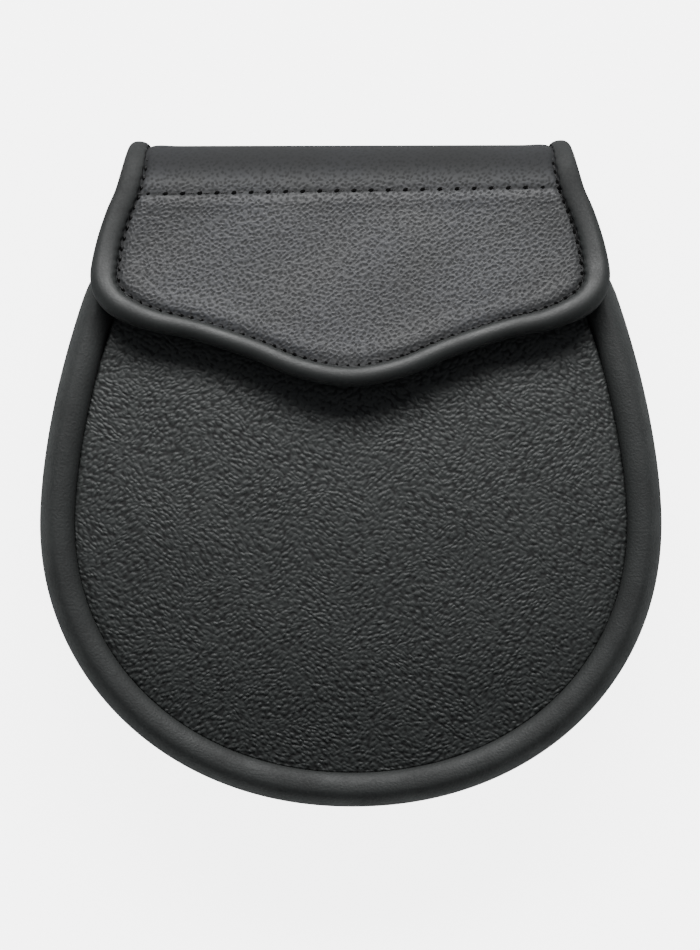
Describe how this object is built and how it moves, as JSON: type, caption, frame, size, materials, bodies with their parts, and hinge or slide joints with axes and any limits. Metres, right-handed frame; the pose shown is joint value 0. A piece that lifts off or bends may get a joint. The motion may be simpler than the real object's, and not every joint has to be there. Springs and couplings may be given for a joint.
{
  "type": "sporran pouch",
  "caption": "Leather sporran pouch with a rounded body, rolled rim, pebbled front and a bound flap that folds over its top.",
  "frame": {"origin": "on the floor, under the middle of the pouch's box as it lies on its back", "axes": "+X to the right as seen from the front, +Y towards the fold at the pouch's top, +Z out of its front"},
  "size_m": [0.1798, 0.1938, 0.0501],
  "materials": {
    "back_leather": "plain black leather, matt",
    "smooth_leather": "smooth black leather, soft sheen",
    "front_leather": "black pebbled leather",
    "flap_leather": "black fine pebbled leather",
    "binding_leather": "smooth black leather, rolled",
    "loop_leather": "plain black leather, matt",
    "stud_metal": "plain darkened metal"
  },
  "bodies": {
    "root": {"back_panel": "back_leather", "gusset": "smooth_leather", "front_panel": "front_leather", "flap": "flap_leather", "flap_binding": "binding_leather", "strap_loop_left": "loop_leather", "strap_loop_right": "loop_leather", "press_stud": "stud_metal"}
  },
  "joints": []
}
